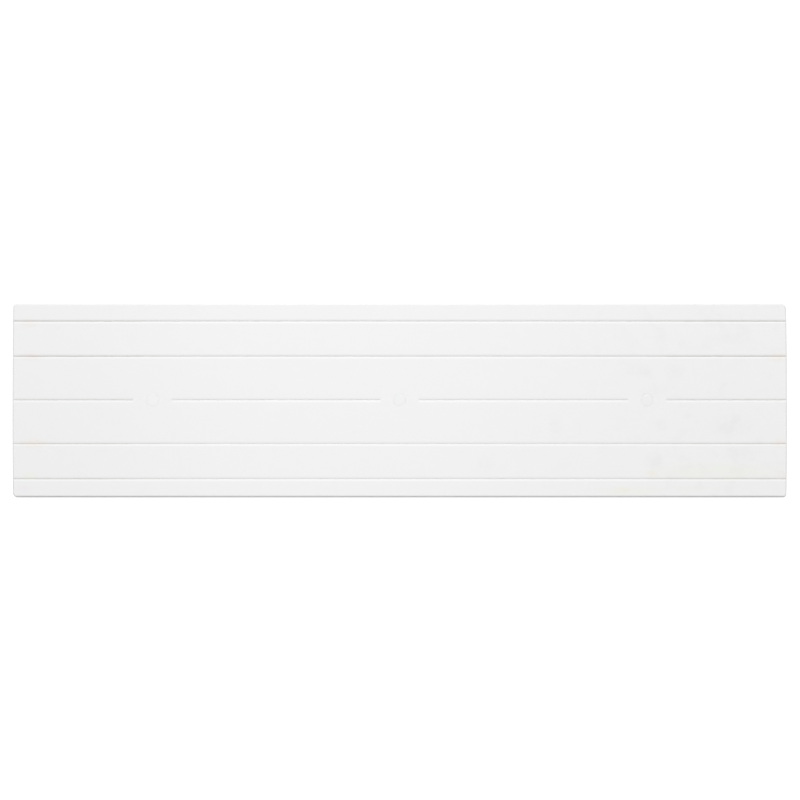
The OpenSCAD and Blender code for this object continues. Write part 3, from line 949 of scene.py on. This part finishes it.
# %% Bright screw steel
BRUSH_DARK = rgb(0.62, 0.62, 0.61)
BRUSH_BRIGHT = rgb(0.76, 0.755, 0.74)
TARNISH = rgb(0.42, 0.36, 0.29)
BRUSH_SIZE = (4 * MM, 0.3 * MM, 0.6 * MM)
screw_steel = Finish("bright_screw_steel", Metallic=1.0)
brushed = screw_steel.noise(1, 2, screw_steel.mapped(BRUSH_SIZE, turn=(0, 0, 0.9)))
bright = screw_steel.blend(brushed, BRUSH_DARK, BRUSH_BRIGHT)
tarnish = screw_steel.spread(screw_steel.noise(3 * MM, 3), 0.55, 0.7, 0, 0.7)
bright = screw_steel.blend(tarnish, bright, TARNISH)
screw_rough = screw_steel.spread(brushed, 0.3, 0.7, 0.22, 0.42)
screw_finish = screw_steel.done(bright, screw_rough, screw_steel.relief(brushed, 0.02 * MM))

# %% Make the screws
THREAD_PITCH = 1.6
DRIVE_R = 1.9 * MM
DRIVE_DEPTH = 1.2 * MM
DRIVE_DRAFT = 0.05 * MM
Z_HEAD_LOW = 0.6
Z_HEAD_HIGH = 2.6
Z_TIP = 22.6
FACE_R = 3.4
SHANK_R = 1.95
RIDGE_R = 2.5
SCREW_STEPS = 24
FIRST_TURN = 0.37
NEXT_TURN = 1.1
thread = []
z_turn = Z_HEAD_HIGH + 0.6
while z_turn < Z_TIP - 4:
    z_low, z_high = z_turn + 0.5 * THREAD_PITCH, z_turn + 0.75 * THREAD_PITCH
    thread += [(SHANK_R, z_turn), (SHANK_R, z_low), (RIDGE_R, z_high)]
    z_turn += THREAD_PITCH
SCREW_SECTION = [
    (0, Z_HEAD_LOW), (FACE_R, Z_HEAD_LOW), (4.3, 0.85), (4.85, 1.35), (5.0, 2.0), (5.0, 2.45),
    (4.85, Z_HEAD_HIGH), (2.5, Z_HEAD_HIGH), (2.2, Z_HEAD_HIGH + 0.3), *thread,
    (SHANK_R, z_turn), (1.9, Z_TIP - 2.5), (0, Z_TIP),
]
for station, at in station_x.items():
    screws = bmesh.new()
    for number, (x, y) in enumerate(SCREW_AT):
        one = bmesh.new()
        turned(one, SCREW_SECTION, SCREW_STEPS)
        face = bmesh.ops.dissolve_faces(one, faces=flat_at(one, Z_HEAD_LOW * MM))["region"][0]
        hexagon = disc(one, 0, 0, Z_HEAD_LOW * MM, DRIVE_R, 6)
        draw_on(one, face, [hexagon])
        bmesh.ops.recalc_face_normals(one, faces=one.faces)
        push_in(one, hexagon, DRIVE_DEPTH, DRIVE_DRAFT)
        turn = Matrix.Rotation(FIRST_TURN + NEXT_TURN * number, 3, "Z")
        bmesh.ops.rotate(one, cent=(0, 0, 0), matrix=turn, verts=one.verts)
        bmesh.ops.translate(one, vec=(at + x, y, 0), verts=one.verts)
        held = bpy.data.meshes.new("one_screw")
        one.to_mesh(held)
        one.free()
        screws.from_mesh(held)
        bpy.data.meshes.remove(held)
    finish_piece(screws, "pad_screw_set_" + station, "pad_screws_" + station, "board", screw_finish)

# %% [markdown]
# ## Softwood core
# The core, the laminates and the spreader plates can't be seen from outside, but whoever opens the board
# finds them. Their frame nodes have the right shape, so they stay and get a finish each. The core is
# planed fir, and its grain and growth rings are noise that is stretched along the stringers. The same
# finish with two axes changed over is for the end blocks, whose wood lies across the board. Each
# stringer has a tone of its own, by counting stringer widths across the board.

# %% Softwood along and across
STRINGER_W = 40.36 * MM
EARLY_WOOD = rgb(0.60, 0.39, 0.20)
LATE_WOOD = rgb(0.42, 0.23, 0.10)
PALE_GRAIN = rgb(0.70, 0.50, 0.29)
DARK_BOARD = rgb(0.50, 0.30, 0.15)
GRAIN_SIZE = (160 * MM, 3.5 * MM, 3.5 * MM)
GROWTH_SIZE = (900 * MM, 14 * MM, 30 * MM)
RING_TURNS = 46


def softwood(name, along_x):
    """Planed fir: stretched noise for the grain, rings for the growth, and a tone for each board."""
    wood = Finish(name)
    order = (0, 1, 2) if along_x else (1, 0, 2)
    grain = wood.noise(1, 4, wood.mapped([GRAIN_SIZE[axis] for axis in order]))
    growth = wood.noise(1, 2, wood.mapped([GROWTH_SIZE[axis] for axis in order]))
    growth_rings = wood.maths("SINE", wood.maths("MULTIPLY", growth, RING_TURNS))
    tone = wood.node("ShaderNodeTexWhiteNoise", noise_dimensions="1D")
    wood.feed(tone.inputs["W"], wood.maths("FLOOR", wood.maths("DIVIDE", wood.y, STRINGER_W)))
    fir = wood.blend(wood.spread(growth_rings, -0.4, 1), EARLY_WOOD, LATE_WOOD)
    fir = wood.blend(wood.spread(grain, 0.35, 0.7, 0, 0.5), fir, PALE_GRAIN)
    fir = wood.blend(wood.maths("MULTIPLY", tone.outputs[0], 0.35), fir, DARK_BOARD)
    return wood.done(fir, wood.spread(grain, 0.3, 0.7, 0.55, 0.75), wood.relief(grain, 0.15 * MM))


dress("core_stringer", softwood("planed_fir", True))
cross_fir = softwood("planed_fir_across", False)
dress("tail_block", cross_fir)
dress("nose_block", cross_fir)

# %% [markdown]
# ## Glass cloth
# Over and under the core lies woven glass that is soaked in resin. It is the plain weave again, coarser
# than the print of it on the pan, with paler patches where the resin ran short.

# %% Glass cloth in resin
RESIN_DEEP = rgb(0.42, 0.50, 0.36)
THREAD_PALE = rgb(0.60, 0.66, 0.50)
DRY_GLASS = rgb(0.70, 0.72, 0.62)
CLOTH_PITCH = 5 * MM
resin = Finish("glass_cloth_in_resin", Coat_Weight=0.4, Coat_Roughness=0.1)
threads = woven(resin, CLOTH_PITCH)
glass = resin.blend(threads, RESIN_DEEP, THREAD_PALE)
dry_patches = resin.spread(resin.noise(50 * MM, 4), 0.55, 0.7, 0, 0.6)
glass = resin.blend(dry_patches, glass, DRY_GLASS)
glass_rough = resin.spread(dry_patches, 0, 1, 0.3, 0.6)
glass_cloth = resin.done(glass, glass_rough, resin.relief(threads, 0.2 * MM))
dress("deck_laminate", glass_cloth)
dress("pan_laminate", glass_cloth)

# %% [markdown]
# ## Spreader plates
# The plates are steel that was dipped in zinc, which sets in frosty flakes. A Voronoi pattern has one
# flat colour to each cell, and that gives each flake its tone and its roughness.

# %% Zinc plate
ZINC_DARK = rgb(0.50, 0.52, 0.54)
ZINC_PALE = rgb(0.66, 0.68, 0.69)
FLAKES_PER_METRE = 180
zinc = Finish("zinc_coated_plate", Metallic=1.0)
flakes = zinc.node("ShaderNodeTexVoronoi")
zinc.feed(flakes.inputs["Vector"], zinc.place)
flakes.inputs["Scale"].default_value = FLAKES_PER_METRE
flake_tone = zinc.node("ShaderNodeSeparateColor")
zinc.feed(flake_tone.inputs[0], flakes.outputs["Color"])
frost = zinc.blend(flake_tone.outputs[0], ZINC_DARK, ZINC_PALE)
frost_rough = zinc.spread(flake_tone.outputs[1], 0, 1, 0.35, 0.6)
zinc_plate = zinc.done(frost, frost_rough, zinc.relief(zinc.noise(1.5 * MM), 0.03 * MM))
dress("deck_plate", zinc_plate)
dress("pan_plate", zinc_plate)
